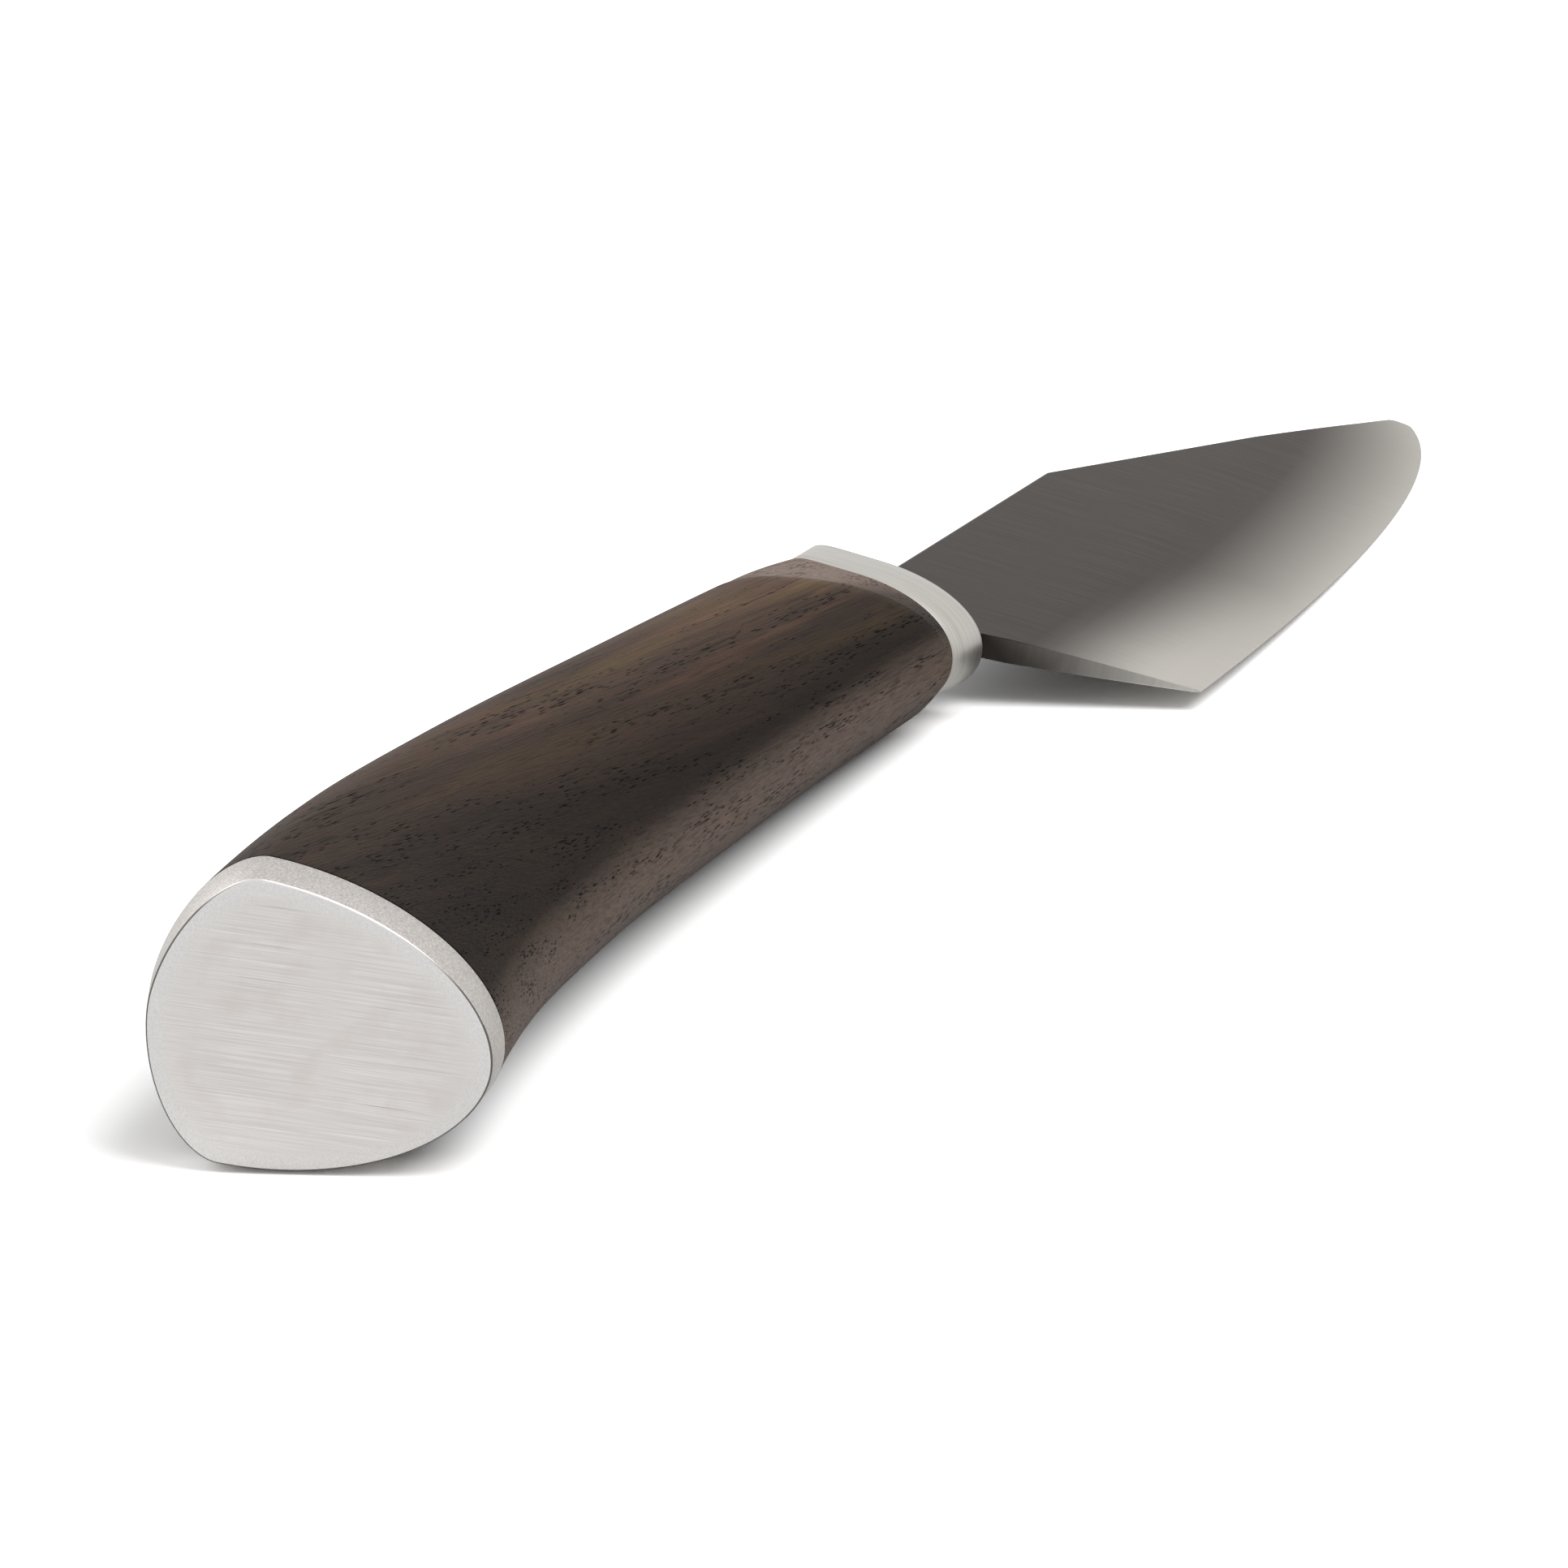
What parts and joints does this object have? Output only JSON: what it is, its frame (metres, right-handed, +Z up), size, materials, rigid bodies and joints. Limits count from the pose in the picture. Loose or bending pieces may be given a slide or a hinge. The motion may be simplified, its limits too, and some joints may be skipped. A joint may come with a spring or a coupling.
{
  "type": "peeling knife",
  "caption": "Short kitchen peeling knife with a tall clipped steel blade, steel bolster, egg-shaped dark wood grip and a flat brushed steel end cap.",
  "frame": {"origin": "middle of the knife's footprint, on the table it lies on", "axes": "+X from the end cap to the tip, +Y from the edge to the spine, +Z up from the table"},
  "size_m": [0.2162, 0.0352, 0.0208],
  "materials": {
    "blade_steel": "satin ground stainless steel, lighter on the ground band above the edge",
    "satin_steel": "satin stainless steel",
    "brushed_steel": "line-brushed stainless steel with a fine blasted rim",
    "dark_wood": "oiled, open-pored dark brown hardwood",
    "plated_steel": "zinc plated steel"
  },
  "bodies": {
    "root": {"blade": "blade_steel", "bolster": "satin_steel", "grip": "dark_wood", "end_cap": "brushed_steel", "tang_nut": "plated_steel", "nut_washer": "plated_steel", "cap_dowel_back": "satin_steel", "cap_dowel_belly": "satin_steel"}
  },
  "joints": []
}
